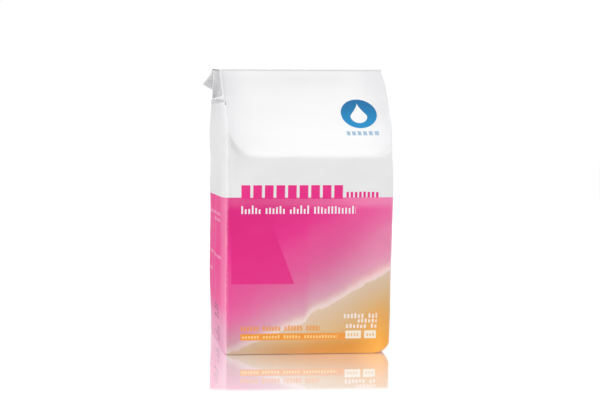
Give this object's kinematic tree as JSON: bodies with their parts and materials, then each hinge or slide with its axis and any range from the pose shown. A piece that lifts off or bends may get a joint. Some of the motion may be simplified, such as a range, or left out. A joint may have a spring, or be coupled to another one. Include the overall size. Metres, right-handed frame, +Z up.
{
  "type": "gusseted powder bag",
  "caption": "Side-gusseted, flat-bottomed bag of laminated film filled with dental impression powder, its heat-sealed top folded back.",
  "frame": {"origin": "centre of the base, on the surface that the bag stands on", "axes": "+Z up, -Y towards the printed front, +X to the right seen from the front"},
  "size_m": [0.117, 0.0663, 0.1834],
  "materials": {
    "printed_film": "gloss",
    "white_film": "gloss",
    "heat_seal": "satin",
    "impression_powder": "matte"
  },
  "bodies": {
    "pouch": {"back_fin_seal": "heat_seal", "back_panel_left": "printed_film", "back_panel_right": "printed_film", "back_shoulder_left": "white_film", "back_shoulder_right": "white_film", "base_flap_front": "printed_film", "base_flap_rear": "printed_film", "base_seal": "heat_seal", "base_tuck_left": "printed_film", "base_tuck_right": "printed_film", "front_panel": "printed_film", "front_shoulder": "white_film", "left_gusset_front": "printed_film", "left_gusset_rear": "printed_film", "left_tuck_front": "white_film", "left_tuck_rear": "white_film", "left_tuck_web": "white_film", "powder_fill": "impression_powder", "ridge_fold": "white_film", "right_gusset_front": "printed_film", "right_gusset_rear": "printed_film", "right_tuck_front": "white_film", "right_tuck_rear": "white_film", "right_tuck_web": "white_film"},
    "top_flap": {"flap_ply_outer": "white_film", "flap_ply_inner": "white_film", "flap_gusset_left": "white_film", "flap_gusset_right": "white_film", "flap_fin_seal": "heat_seal", "top_seal": "heat_seal"}
  },
  "joints": [
    {"name": "top_fold", "type": "hinge", "parent": "pouch", "child": "top_flap", "pos_m": [0, 0, 0.18296], "axis": [1, 0, 0], "range_deg": [-8, 130]}
  ]
}
